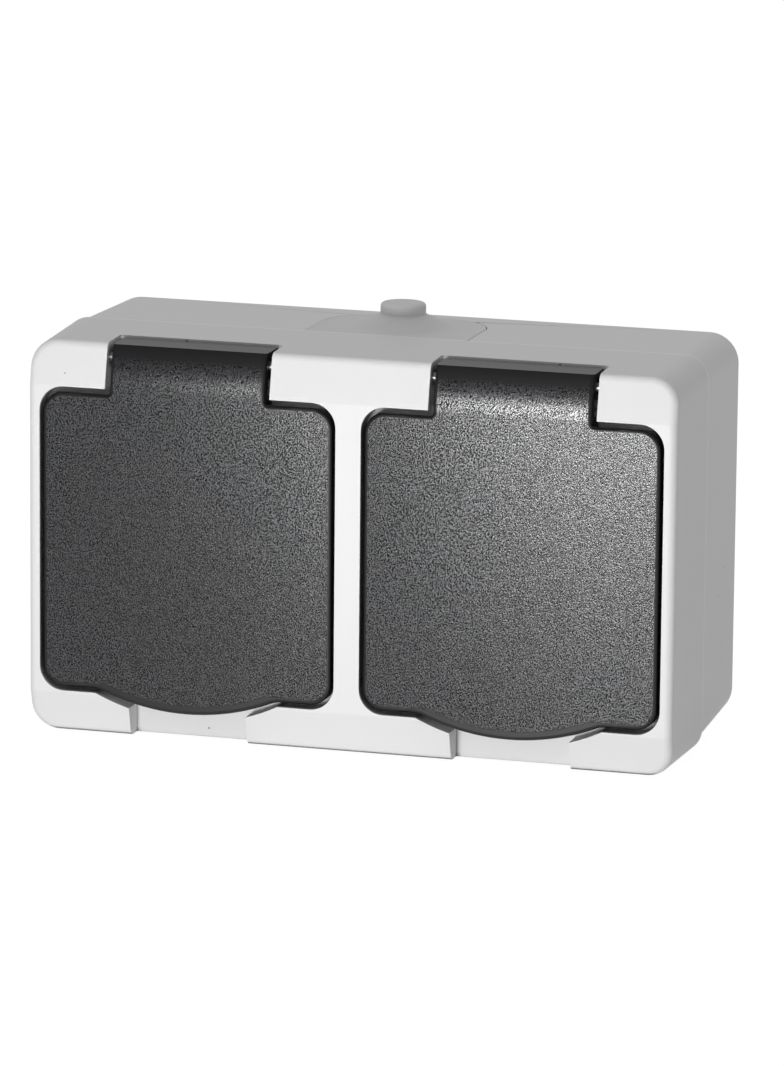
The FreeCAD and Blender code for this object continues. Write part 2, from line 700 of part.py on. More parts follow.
def make_cable_grommet():
    """The slide-in membrane with its nipple, flush with the drafted top of the box."""
    piece = Piece("cable_grommet")
    half = d.entry_width / 2
    plug = piece.sketch("XY_Plane", -d.base_wall)
    draw_entry(plug, half, size(0), d.entry_deep)
    piece.pad(plug, d.base_wall)
    flange = piece.sketch("XY_Plane", -d.base_wall - d.entry_gap)
    draw_entry(flange, half + d.entry_flange, size(0), d.entry_deep + d.entry_flange)
    piece.pad(flange, d.entry_flange, backwards=True)
    neck = piece.sketch("XY_Plane", -d.base_wall - d.entry_gap)
    draw_entry(neck, half - OVERSHOOT, size(0), d.entry_deep - OVERSHOOT)
    piece.pad(neck, d.entry_gap)
    profile = piece.side(0)
    middle = d.nipple_deep
    top = d.cone_height + d.nipple_height
    turned = [
        (middle, -d.base_wall / 2),
        (middle + d.cone_radius, -d.base_wall / 2),
        (middle + d.cone_radius, size(0)),
        (middle + d.nipple_radius, d.cone_height),
        (middle + d.nipple_radius, top - d.nipple_round, d.nipple_round),
        (middle + d.nipple_radius - d.nipple_round, top),
        (middle, top),
    ]
    draw_outline(profile, turned)
    foot = Vector(middle.number, 0, 0)
    axis = profile.addGeometry(Part.LineSegment(foot, foot + Vector(0, OVERSHOOT.number, 0)), True)
    profile.addConstraint(Sketcher.Constraint("Vertical", axis))
    hold_point(profile, axis, 1, middle, size(0))
    hold(profile, "DistanceY", OVERSHOOT, axis, 1, axis, 2)
    nipple = piece.body.newObject("PartDesign::Revolution", "cable_grommet_nipple")
    nipple.Profile = profile
    nipple.ReferenceAxis = (profile, ["Axis0"])
    nipple.Angle = 360
    fit_grommet_front(piece, half + d.entry_flange)
    lean = math.degrees(math.atan((BASE_TOP - d.base_rear_height / 2).number / PARTING.number))
    piece.body.Placement = Placement(Vector(0, 0, 0), Rotation(Vector(1, 0, 0), -lean))
    bind(piece.body, "Placement.Base.y", -PARTING)
    bind(piece.body, "Placement.Base.z", BASE_TOP)
    return piece.body


def fit_grommet_front(piece, half):
    """Cuts the grommet's front back to the parting plane, with a groove for the housing gasket."""
    front = piece.side(half)
    low = -d.base_wall - d.entry_gap - d.entry_flange
    draw_box(front, -OVERSHOOT, d.entry_gap, low - OVERSHOOT, OVERSHOOT)
    piece.pocket(front, 2 * half)
    groove = piece.side(half)
    top = -GASKET_INSET + d.entry_gap
    low = -GASKET_INSET - d.gasket_width - d.entry_gap
    draw_box(groove, size(0), d.gasket_height + d.entry_gap, low, top)
    piece.pocket(groove, 2 * half)


def make_lid(side, x):
    """One flap lid: a plate with a finger lip, a skirt behind it and a hinge tab."""
    piece = Piece(f"lid_{side}")
    face = d.overall_depth
    half = d.recess_width / 2 - d.lid_gap_side
    low = -d.recess_low + d.lid_gap_low
    top = d.recess_top - d.lid_gap_top
    corner = d.recess_corner - d.lid_gap_side
    plate = piece.front(face)
    draw_rounded(plate, x - half, x + half, low, top, corner)
    piece.pad(plate, d.lid_skirt, backwards=True)
    chord = d.lid_lip_chord / 2
    radius = (chord * chord + d.lid_lip_drop * d.lid_lip_drop) / (d.lid_lip_drop * 2)
    lip = piece.front(face)
    middle = size(0)
    draw_outline(lip, [(x - chord, low, radius), (x + chord, low), (x + chord, middle), (x - chord, middle)])
    piece.pad(lip, d.lid_skirt, backwards=True)
    piece.dress("Fillet", d.lid_lip_blend, upright_edges(x, chord, low))
    shape_tab(piece, x, top)
    round_lid(piece, x, top)
    hollow = piece.front(face - d.lid_skirt)
    wall = d.skirt_wall
    draw_rounded(hollow, x - half + wall, x + half - wall, low + wall, top - wall, corner - wall)
    piece.pocket(hollow, d.lid_skirt - d.lid_plate, backwards=True)
    add_knuckles(piece, x)
    relieve_shoulders(piece, x, half)
    return piece.body


def upright_edges(x, reach, z):
    """A test for the two edges square to the wall, at a reach to each side of X, at one height."""

    def chosen(edge):
        box = box_of(edge)
        beside = abs(abs(box.XMin - number_of(x)) - reach.number) < NEAR
        return box.XLength < NEAR and box.ZLength < NEAR and beside and abs(box.ZMin - z.number) < NEAR

    return chosen


def shape_tab(piece, x, shoulder):
    """The hinge tab: a block above the shoulders, cut to a curved front and a flat top strip."""
    half = d.tab_width / 2
    face = -d.overall_depth
    top = d.tab_top
    tab = piece.front(d.overall_depth)
    draw_box(tab, x - half, x + half, shoulder - OVERSHOOT, top)
    piece.pad(tab, d.tab_rear_deep, backwards=True)
    piece.dress("Fillet", d.tab_corner, upright_edges(x, half, shoulder))
    bend_start = shoulder + d.tab_corner
    rise = top - bend_start
    bend = (rise * rise + d.lean_top * d.lean_top) / (d.lean_top * 2)
    front = piece.side(x + half + OVERSHOOT)
    crest = face + d.lean_top
    outside = face - OVERSHOOT
    above = top + OVERSHOOT
    corners = [
        (face, bend_start, -bend),
        (crest, top),
        (crest, above),
        (outside, above),
        (outside, bend_start),
    ]
    draw_outline(front, corners)
    piece.pocket(front, d.tab_width + 2 * OVERSHOOT)
    inside = piece.side(x + half + OVERSHOOT)
    behind = face + d.tab_rear_deep + OVERSHOOT
    ceiling = top - d.tab_wall
    corners = [
        (face + d.lid_skirt, shoulder - 2 * OVERSHOOT),
        (behind, shoulder - 2 * OVERSHOOT),
        (behind, ceiling),
        (crest + d.tab_wall, ceiling),
        (-HINGE_OUT - d.spring_room, d.hinge_height),
        (face + d.lid_plate, shoulder + d.tab_corner),
        (face + d.lid_skirt, shoulder + d.tab_corner),
    ]
    draw_outline(inside, corners)
    piece.pocket(inside, d.tab_width + 2 * OVERSHOOT)


def add_knuckles(piece, x):
    """The two hinge knuckles with their bore, and room for the spring between them."""
    half = d.tab_width / 2
    for start in (x - half, x + half - d.knuckle_length):
        knuckle = piece.side(start)
        draw_circle(knuckle, -HINGE_OUT, d.hinge_height, d.knuckle_radius)
        piece.pad(knuckle, d.knuckle_length)
    bore = piece.side(x + half)
    draw_circle(bore, -HINGE_OUT, d.hinge_height, PIN_HOLE)
    piece.pocket(bore, d.tab_width)
    room = piece.side(x + half - d.knuckle_length)
    draw_circle(room, -HINGE_OUT, d.hinge_height, d.spring_room)
    piece.pocket(room, d.tab_width - 2 * d.knuckle_length)


def relieve_shoulders(piece, x, half):
    """Cuts the back of the lid's shoulders round the hinge axis, so that they swing clear."""
    rise = d.hinge_height - d.recess_top
    radius = root(d.hinge_deep * d.hinge_deep + rise * rise) + d.swing_clearance
    beside = half - d.tab_width / 2
    for start in (x + half, x - d.tab_width / 2):
        sketch = piece.side(start)
        draw_circle(sketch, -HINGE_OUT, d.hinge_height, radius)
        piece.pocket(sketch, beside)


def round_lid(piece, x, shoulder):
    """Rounds the lid's front edge all the way round, and then the tab's rear crest."""
    face = -d.overall_depth.number

    def in_front(edge):
        box = box_of(edge)
        on_face = box.YMax < face + NEAR
        fold = on_face and box.ZMin > shoulder.number + NEAR and box.XLength > d.tab_width.number - NEAR
        beside_tab = box.XLength < NEAR and box.YMin < face + NEAR and box.ZMax > d.tab_top.number - NEAR
        return (on_face and not fold) or (beside_tab and box.YMax < face + d.lean_top.number + NEAR)

    def at_rear(edge):
        box = box_of(edge)
        along = box.XLength > d.tab_width.number - 2 * d.lid_round.number - NEAR
        return along and box.ZMin > d.tab_top.number - NEAR and box.YMin > face + d.lean_top.number + NEAR

    piece.dress("Fillet", d.lid_round, in_front)
    piece.dress("Fillet", d.tab_round, at_rear)


def make_cup(side, x):
    """The round plug cup: flange, barrel, side keys, pin holes and windows for the earth clip."""
    piece = Piece(f"socket_cup_{side}")
    flange = piece.front(CUP_FRONT - d.cup_flange)
    draw_circle(flange, x, 0, d.cup_flange_radius)
    piece.pad(flange, d.cup_flange)
    barrel = piece.front(CUP_BACK)
    draw_circle(barrel, x, 0, CUP_OUTSIDE)
    piece.pad(barrel, CUP_FRONT - CUP_BACK)
    hollow = piece.front(CUP_FRONT)
    draw_circle(hollow, x, 0, d.cup_radius)
    piece.pocket(hollow, d.cup_depth)
    keys = piece.front(CUP_FLOOR_FRONT)
    inner = d.cup_radius - d.key_height
    outer = d.cup_radius + d.cup_wall / 2
    half = d.key_width / 2
    for near, far in ((x - outer, x - inner), (x + inner, x + outer)):
        draw_box(keys, near, far, -half, half)
    piece.pad(keys, d.cup_depth)
    holes = piece.front(CUP_FLOOR_FRONT)
    for offset in (-CONTACT_OFFSET, CONTACT_OFFSET):
        draw_circle(holes, x + offset, 0, d.contact_hole_radius)
    draw_circle(holes, x, 0, SCREW_HOLE)
    piece.pocket(holes, d.cup_floor)
    windows = piece.sketch("XY_Plane", CUP_OUTSIDE + OVERSHOOT)
    half = d.window_width / 2
    front = -deep(d.window_deep)
    rear = front + d.window_length
    draw_box(windows, x - half, x + half, front, rear)
    piece.pocket(windows, 2 * (CUP_OUTSIDE + OVERSHOOT))
    return piece.body


def make_carrier():
    """The moulded block behind both cups, with wells for the sleeves and troughs for the bars."""
    piece = Piece("contact_carrier")
    outline = piece.front(CARRIER_BACK)
    rounded_between(outline, d.carrier_width, d.carrier_height, d.post_radius)
    piece.pad(outline, CARRIER_DEPTH)
    wells = piece.front(CARRIER_FRONT)
    for x in LINE_PLACES + NEUTRAL_PLACES:
        draw_circle(wells, x, 0, SLEEVE_OUTSIDE + PLAY)
    for _, x in SIDES:
        draw_circle(wells, x, 0, d.boss_radius + PLAY)
    piece.pocket(wells, WELL_DEPTH)
    cut_live_rooms(piece)
    cut_earth_rooms(piece)
    holes = piece.front(CARRIER_FRONT)
    for x, z in four_places(d.carrier_screw_pitch_x, d.carrier_screw_pitch_z):
        draw_circle(holes, x, z, SCREW_HOLE)
    piece.pocket(holes, CARRIER_DEPTH)
    return piece.body


def ordered(one, other):
    """Two places, the lower first."""
    return sorted([size(one), size(other)], key=number_of)


def cut_live_rooms(piece):
    """The troughs that the live bars lie in, with room for their links and clamps."""
    troughs = piece.front(CARRIER_FRONT)
    links = piece.front(CARRIER_FRONT)
    half = d.bar_sheet + PLAY
    for places, way in ((LINE_PLACES, 1), (NEUTRAL_PLACES, -1)):
        low, high = ordered((d.bar_height - PLAY) * way, (d.bar_height + d.bar_sheet + PLAY) * way)
        left = places[0] - SLEEVE_OUTSIDE - PLAY
        right = places[1] + SLEEVE_OUTSIDE + PLAY
        draw_box(troughs, left, right, low, high)
        for x in places:
            low, high = ordered(0, d.bar_height * way)
            draw_box(links, x - half, x + half, low, high)
    piece.pocket(troughs, CARRIER_FRONT - BAR_BACK)
    piece.pocket(links, CARRIER_FRONT - BAR_BACK)
    clamps = piece.front(CARRIER_FRONT)
    half = d.terminal_side / 2 + PLAY
    for x, z in terminal_places()[:2]:
        draw_box(clamps, x - half, x + half, z - half, z + half)
    piece.pocket(clamps, CARRIER_FRONT - BAR_FRONT + d.terminal_depth + PLAY)


def cut_earth_rooms(piece):
    """The shallow seats of the earth clips and their rail, and the room of the earth clamp."""
    straps = piece.front(CARRIER_FRONT)
    half = d.earth_width / 2 + PLAY
    top = d.carrier_height / 2 + OVERSHOOT
    for _, x in SIDES:
        draw_box(straps, x - half, x + half, -top, top)
    piece.pocket(straps, d.earth_sheet)
    rail = piece.front(CARRIER_FRONT)
    reach = HALF_PITCH + half
    draw_box(rail, -reach, reach, EARTH_RAIL - half, EARTH_RAIL + half)
    piece.pocket(rail, d.earth_sheet + d.bar_sheet)
    clamp = piece.front(CARRIER_FRONT)
    x, z = terminal_places()[2]
    half = d.terminal_side / 2 + PLAY
    draw_box(clamp, x - half, x + half, z - half, z + half)
    piece.pocket(clamp, d.earth_sheet + d.terminal_depth + PLAY)


def terminal_places():
    """The middles of the line, neutral and earth terminals."""
    offset = d.bar_height - d.terminal_side / 2
    return [(-d.terminal_pitch / 2, offset), (d.terminal_pitch / 2, -offset), (size(0), EARTH_RAIL)]


def clamp_block(label, x, z, front):
    """The block of a terminal, behind its bar."""
    half = d.terminal_side / 2
    depths = (front - d.terminal_depth, front)
    return block(f"{label}_clamp", (x - half, x + half), depths, (z - half, z + half))


def clamp_hole(label, x, z, front):
    """The hole for a terminal's screw."""
    return rod(f"{label}_thread", TERMINAL_HOLE, d.terminal_depth, x, front - d.terminal_depth, z, "outwards")


def live_bar(label, places, way, terminal):
    """A stamped bar with a sleeve for one pin of each plug and a terminal block."""
    low, high = ordered(d.bar_height * way, (d.bar_height + d.bar_sheet) * way)
    span = (places[0] - SLEEVE_OUTSIDE, places[1] + SLEEVE_OUTSIDE)
    parts = [block(f"{label}_strip", span, (BAR_BACK, BAR_FRONT), (low, high))]
    bores = []
    half = d.bar_sheet / 2
    start = BAR_FRONT - d.sleeve_length
    for index, x in enumerate(places):
        link = ordered((d.sleeve_radius + half) * way, (d.bar_height + half) * way)
        parts.append(block(f"{label}_link_{index}", (x - half, x + half), (BAR_BACK, BAR_FRONT), link))
        parts.append(rod(f"{label}_sleeve_{index}", SLEEVE_OUTSIDE, d.sleeve_length, x, start, 0, "outwards"))
        bores.append(rod(f"{label}_bore_{index}", d.sleeve_radius, d.sleeve_length, x, start, 0, "outwards"))
    parts.append(clamp_block(label, *terminal, BAR_FRONT))
    bores.append(clamp_hole(label, *terminal, BAR_FRONT))
    return without(label, united(f"{label}_metal", parts), bores)


def make_earth_bar():
    """The strip that joins both earth clips, with the earth terminal in its middle."""
    reach = HALF_PITCH + d.earth_width / 2
    half = d.earth_width / 2
    depths = (EARTH_FRONT - d.bar_sheet, EARTH_FRONT)
    strip = block("earth_bar_strip", (-reach, reach), depths, (EARTH_RAIL - half, EARTH_RAIL + half))
    x, z = terminal_places()[2]
    metal = united("earth_bar_metal", [strip, clamp_block("earth_bar", x, z, EARTH_FRONT)])
    return without("earth_bar", metal, [clamp_hole("earth_bar", x, z, EARTH_FRONT)])


def make_earth_clip(side, x):
    """The sprung strap behind one cup, whose two fingers reach in through its windows."""
    sheet_half = d.earth_sheet.number / 2
    middle = EARTH_FRONT.number + sheet_half
    outside = (CUP_OUTSIDE + d.cup_clearance).number + sheet_half
    bend = deep(d.window_deep + d.earth_sheet).number
    reach = d.earth_reach.number + sheet_half
    wall = (d.cup_radius + d.cup_wall / 2).number
    tip = deep(d.window_deep + d.window_length - 2 * d.earth_sheet).number
    contact = (bend * 2 + tip) / 3
    path = [(0, middle), (outside, middle), (outside, bend), (wall, bend), (reach, contact), (wall, tip)]
    points = [Vector(0, -out, -z) for z, out in reversed(path)] + [Vector(0, -out, z) for z, out in path[1:]]
    line = Part.makePolygon(points)
    width = d.earth_width.number
    strap = None
    for offset in (sheet_half, -sheet_half):
        face = line.makeOffset2D(offset, 2, True, True)
        face.translate(Vector(-width / 2, 0, 0))
        half = face.extrude(Vector(width, 0, 0))
        strap = half if strap is None else strap.fuse(half)
    inwards = Vector(0, 1, 0)
    start = Vector(0, -EARTH_FRONT.number, 0)
    boss = Part.makeCylinder(d.boss_radius.number, d.boss_height.number, start, inwards)
    before = start - inwards * OVERSHOOT.number
    thread = Part.makeCylinder(SCREW_HOLE.number, 2 * d.boss_height.number, before, inwards)
    thing = doc.addObject("Part::Feature", f"earth_clip_{side}")
    thing.Shape = strap.fuse(boss).cut(thread).removeSplitter()
    bind(thing, "Placement.Base.x", x)
    return thing


def make_lid_spring(side, x):
    """A torsion spring on the hinge pin, with one leg under the tab and one on the notch floor."""
    wire = d.spring_wire.number / 2
    radius = (d.pin_radius + d.spring_clearance).number + wire
    turns = d.spring_turns.number + SPRING_PART_TURN
    length = turns * d.spring_step.number
    helix = Part.makeHelix(d.spring_step.number, length, radius)
    start = Vector(radius, 0, 0)
    heading = Vector(0, 1, 0)
    corners = [2 * math.pi * i / WIRE_SIDES for i in range(WIRE_SIDES + 1)]
    section = Part.makePolygon([start + Vector(math.cos(a), 0, math.sin(a)) * wire for a in corners])
    coil = Part.Wire(helix.Edges).makePipeShell([section], True, True)
    angle = 2 * math.pi * turns
    end = Vector(radius * math.cos(angle), radius * math.sin(angle), length)
    lid_leg = Part.makeCylinder(wire, d.spring_lid_leg.number, start, -heading)
    onwards = Vector(-math.sin(angle), math.cos(angle), 0)
    fixed_leg = Part.makeCylinder(wire, d.spring_fixed_leg.number, end, onwards)
    thing = doc.addObject("Part::Feature", f"lid_spring_{side}")
    thing.Shape = coil.fuse([lid_leg, fixed_leg])
    thing.Placement = Placement(Vector(), Rotation(Vector(0, 0, 1), Vector(0, -1, 0), Vector(1, 0, 0), "XYZ"))
    bind(thing, "Placement.Base.x", x - length / 2)
    bind(thing, "Placement.Base.y", -HINGE_OUT)
    bind(thing, "Placement.Base.z", d.hinge_height)
    return thing


def screw(label, place_xz, front, length, radius, head):
    """A pan-headed screw with a straight slot, whose head's underside is so far out from the wall."""
    x, z = place_xz
    shank = rod(f"{label}_shank", radius, length + PLAY, x, front - length, z, "outwards")
    top = rod(f"{label}_head", head, d.screw_head_height, x, front, z, "outwards")
    level = front + d.screw_head_height
    half = d.screw_slot / 2
    depths = (level - d.screw_slot, level + half)
    slot = block(f"{label}_slot", (x - head, x + head), depths, (z - half, z + half))
    return without(label, united(f"{label}_steel", [shank, top]), [slot])


def make_screws():
    """The groups of equal screws."""
    cups = []
    for side, x in SIDES:
        sizes = (d.cup_screw_length, d.screw_radius, d.screw_head)
        cups.append(screw(f"cup_screw_{side}", (x, size(0)), CUP_FLOOR_FRONT, *sizes))
    carriers = []
    for index, spot in enumerate(four_places(d.carrier_screw_pitch_x, d.carrier_screw_pitch_z)):
        sizes = (CARRIER_DEPTH + d.carrier_screw_grip, d.screw_radius, d.screw_head)
        carriers.append(screw(f"carrier_screw_{index}", spot, CARRIER_FRONT, *sizes))
    terminals = []
    for index, spot in enumerate(terminal_places()):
        front = (BAR_FRONT, BAR_FRONT, EARTH_FRONT)[index]
        sizes = (d.terminal_depth / 2, d.terminal_screw_radius, d.terminal_screw_head)
        terminals.append(screw(f"terminal_screw_{index}", spot, front, *sizes))
    return [group("cup_screws", cups), group("carrier_screws", carriers), group("terminal_screws", terminals)]


def make_hinge_parts(side, x):
    """The hinge pin, the lid's soft ring and the seal under the cup."""
    reach = d.notch_width / 2 + d.pin_seat - d.pin_clearance
    pin = rod(f"hinge_pin_{side}", d.pin_radius, reach * 2, x - reach, HINGE_OUT, d.hinge_height, "sideways")
    height = d.cup_rim_deep - d.lid_plate - d.seal_gap
    back = CUP_FRONT + d.seal_gap
    gasket = ring(f"lid_gasket_{side}", d.lid_gasket_outer, d.lid_gasket_width, height, x, back, 0)
    width = d.cup_flange_radius - CUP_OUTSIDE - d.cup_clearance
    thickness = CUP_FRONT - d.cup_flange - FLOOR_FRONT
    seal = ring(f"cup_seal_{side}", d.cup_flange_radius, width, thickness, x, FLOOR_FRONT, 0)
    return [pin, gasket, seal]


PIECES = [make_front_cover(), make_base_box(), make_housing_gasket(), make_cable_grommet(), make_carrier()]
PIECES.append(live_bar("line_bar", LINE_PLACES, 1, terminal_places()[0]))
PIECES.append(live_bar("neutral_bar", NEUTRAL_PLACES, -1, terminal_places()[1]))
PIECES.append(make_earth_bar())
for side, x in SIDES:
    PIECES += [make_lid(side, x), make_cup(side, x), make_earth_clip(side, x)]
    PIECES += make_hinge_parts(side, x)
    PIECES.append(make_lid_spring(side, x))
PIECES += make_screws()


def finish(pieces):
    """Checks every object and writes one STEP file for each piece."""
    doc.recompute()
    for thing in doc.Objects:
        if "Invalid" in thing.State or "Error" in thing.State:
            raise RuntimeError(f"{thing.Label} failed: {thing.State}")
    os.makedirs("parts", exist_ok=True)
    for piece in pieces:
        shape = piece.Shape
        if shape.isNull() or not shape.isValid() or not shape.Solids:
            raise RuntimeError(f"{piece.Label} has no valid solid")
        shape.exportStep(os.path.join("parts", f"{piece.Label}.step"))
        print(f"{piece.Label}: {len(shape.Solids)} solid, {shape.Volume:.1f} cubic mm")


finish(PIECES)
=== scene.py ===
# %% [markdown]
# # A weatherproof double socket
#
# The object is a small box for an outside wall: a light grey housing, two dark grained flap lids,
# and a soft cable grommet in the top. Its solids come ready made in a fixed frame. This script
# gives them their finish, adds the fine work that solids leave out, and lights and frames them
# the way a catalogue would. All lengths are in metres.

# %% Load the frame
import json
import math

import bmesh
import bpy
from mathutils import Matrix, Vector


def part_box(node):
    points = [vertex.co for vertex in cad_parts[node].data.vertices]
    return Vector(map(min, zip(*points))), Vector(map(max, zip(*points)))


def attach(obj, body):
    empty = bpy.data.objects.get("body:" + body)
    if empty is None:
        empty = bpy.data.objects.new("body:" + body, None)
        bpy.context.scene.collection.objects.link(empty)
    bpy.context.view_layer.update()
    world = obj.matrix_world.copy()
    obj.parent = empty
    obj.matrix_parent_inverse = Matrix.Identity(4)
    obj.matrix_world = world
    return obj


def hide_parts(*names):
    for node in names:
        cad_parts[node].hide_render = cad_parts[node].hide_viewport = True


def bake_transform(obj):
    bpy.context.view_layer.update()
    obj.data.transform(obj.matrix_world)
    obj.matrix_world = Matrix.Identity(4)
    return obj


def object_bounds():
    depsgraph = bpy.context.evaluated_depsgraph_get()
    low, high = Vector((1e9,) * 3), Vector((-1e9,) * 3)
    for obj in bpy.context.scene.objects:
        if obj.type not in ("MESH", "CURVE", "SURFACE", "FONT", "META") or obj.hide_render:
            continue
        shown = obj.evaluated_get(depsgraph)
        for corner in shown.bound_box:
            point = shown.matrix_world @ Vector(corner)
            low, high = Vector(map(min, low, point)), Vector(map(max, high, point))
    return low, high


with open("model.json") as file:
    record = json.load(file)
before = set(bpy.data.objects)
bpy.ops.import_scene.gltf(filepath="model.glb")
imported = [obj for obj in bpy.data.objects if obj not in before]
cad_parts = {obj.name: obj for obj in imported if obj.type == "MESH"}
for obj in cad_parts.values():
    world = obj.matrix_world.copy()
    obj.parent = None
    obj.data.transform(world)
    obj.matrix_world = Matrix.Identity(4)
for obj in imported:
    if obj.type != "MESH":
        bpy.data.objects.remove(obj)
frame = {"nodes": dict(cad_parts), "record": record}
cad_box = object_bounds()
MM = 0.001
print("nodes:", len(frame["nodes"]))

# %% [markdown]
# ## The camera
#
# A long lens from a metre and a half away keeps the box's edges nearly parallel, as in a
# catalogue picture. The camera stands to the right and above, so that the top and the right side
# show. Its place and its three angles describe the view fully. The lens is given for the frame's
# height, because the picture is upright.

# %% Camera
EYE = Vector((387.56, -1381.65, 311.47)) * MM
YAW, PITCH, ROLL = math.radians(15.911), math.radians(-12.486), math.radians(0.526)
FRAME_HEIGHT_PX = 1066
FOCAL_PX = 7029.6
SENSOR_MM = 36.0


def make_camera():
    """The camera, upright, turned by its yaw and tipped down by its pitch."""
    data = bpy.data.cameras.new("camera")
    data.sensor_fit = "VERTICAL"
    data.sensor_height = SENSOR_MM
    data.lens = FOCAL_PX * SENSOR_MM / FRAME_HEIGHT_PX
    data.clip_start = 0.1
    data.clip_end = 20
    camera = bpy.data.objects.new("camera", data)
    bpy.context.scene.collection.objects.link(camera)
    level = Matrix.Rotation(math.radians(90), 4, "X")
    turn = Matrix.Rotation(YAW, 4, "Z") @ Matrix.Rotation(PITCH, 4, "X")
    camera.matrix_world = Matrix.Translation(EYE) @ turn @ level @ Matrix.Rotation(ROLL, 4, "Z")
    bpy.context.scene.camera = camera
    return camera


print("lens", round(make_camera().data.lens, 1), "mm")

# %% [markdown]
# ## Shader sums in plain Python
#
# Node trees are easier to read as sums. This class wraps a socket, and an expression on wrapped
# sockets adds the Math nodes for it.


# %% A socket that can be reckoned with
class Signal:
    """One output socket of a tree, with arithmetic."""

    def __init__(self, tree, socket):
        self.tree = tree
        self.socket = socket

    def math(self, operation, *others):
        """A Math node on this signal and the others."""
        inputs = {i: other for i, other in enumerate((self, *others))}
        return self.tree.node("ShaderNodeMath", {"operation": operation}, inputs)["Value"]

    def __add__(self, other):
        return self.math("ADD", other)

    __radd__ = __add__

    def __mul__(self, other):
        return self.math("MULTIPLY", other)

    __rmul__ = __mul__

    def __sub__(self, other):
        return self.math("SUBTRACT", other)

    def __rsub__(self, other):
        return self.tree.wrap(other).math("SUBTRACT", self)

    def __truediv__(self, other):
        return self.math("DIVIDE", other)

    def ramp(self, low, high):
        """Nought below the first value, one above the second, and smooth between them."""
        inputs = {"Value": self, "From Min": low, "From Max": high}
        settings = {"interpolation_type": "SMOOTHSTEP"}
        return self.tree.node("ShaderNodeMapRange", settings, inputs)["Result"]

    def smallest(self, other):
        return self.math("MINIMUM", other)

    def largest(self, other):
        return self.math("MAXIMUM", other)


# %% [markdown]
# ## One method for every node
#
# A tree adds any kind of node with one method, which sets it up, feeds its sockets and gives back
# its outputs by name. A few short methods cover the nodes that every finish here needs. Patterns
# read Object coordinates, so they stay on a piece as it moves.


# %% A material's tree
class Tree:
    """A material's node tree, with one method for every kind of node."""

    def __init__(self, name):
        self.material = bpy.data.materials.new(name)
        self.material.use_nodes = True
        self.nodes = self.material.node_tree.nodes
        self.links = self.material.node_tree.links
        self.nodes.clear()
        coordinates = self.node("ShaderNodeTexCoord")
        self.place = coordinates["Object"]
        self.facing = coordinates["Normal"]

    def node(self, kind, settings=None, inputs=None):
        """Adds a node, sets it up, feeds its sockets and returns its outputs by name."""
        node = self.nodes.new(kind)
        for name, value in (settings or {}).items():
            setattr(node, name, value)
        for name, value in (inputs or {}).items():
            self.feed(node.inputs[name], value)
        return {socket.name: Signal(self, socket) for socket in node.outputs if socket.enabled}

    def feed(self, socket, value):
        """Links a signal to a socket, or writes a number or colour into it."""
        if isinstance(value, Signal):
            self.links.new(value.socket, socket)
        else:
            socket.default_value = value

    def wrap(self, number):
        """A plain number as a signal."""
        value = self.nodes.new("ShaderNodeValue")
        value.outputs[0].default_value = number
        return Signal(self, value.outputs[0])

    def axes(self, vector=None):
        """The three parts of a vector, which is the place unless another is given."""
        parts = self.node("ShaderNodeSeparateXYZ", None, {"Vector": vector or self.place})
        return parts["X"], parts["Y"], parts["Z"]

    def noise(self, size, detail=2.0, roughness=0.5, vector=None):
        """Cloudy noise whose features are about so large."""
        inputs = {"Vector": vector or self.place, "Scale": 1 / size, "Detail": detail, "Roughness": roughness}
        return self.node("ShaderNodeTexNoise", None, inputs)["Fac"]

    def mix_colour(self, factor, one, other):
        """A blend of two colours."""
        inputs = {"Factor": factor, "A": one, "B": other}
        node = self.nodes.new("ShaderNodeMix")
        node.data_type = "RGBA"
        for socket in node.inputs:
            if socket.enabled and socket.name in inputs:
                self.feed(socket, inputs[socket.name])
        return Signal(self, next(s for s in node.outputs if s.enabled))

    def bump(self, height, distance):
        """The normal of a surface raised by a height, whose one is so many metres."""
        inputs = {"Height": height, "Distance": distance, "Strength": 1.0}
        return self.node("ShaderNodeBump", None, inputs)["Normal"]

    def shader(self, **sockets):
        """A Principled shader, not yet wired to the output."""
        inputs = {name.replace("_", " "): value for name, value in sockets.items()}
        return self.node("ShaderNodeBsdfPrincipled", None, inputs)["BSDF"]

    def close(self, shader):
        """Wires a shader to the output and returns the material."""
        self.node("ShaderNodeOutputMaterial", None, {"Surface": shader})
        return self.material

    def finish(self, **sockets):
        """One Principled shader wired to the output. Returns the material."""
        return self.close(self.shader(**sockets))


def grey(level):
    """A neutral grey of a linear level."""
    return (level, level, level, 1)


def darker(colour, share):
    """A colour brought down to a share of itself."""
    return tuple(part * share for part in colour[:3]) + (1,)
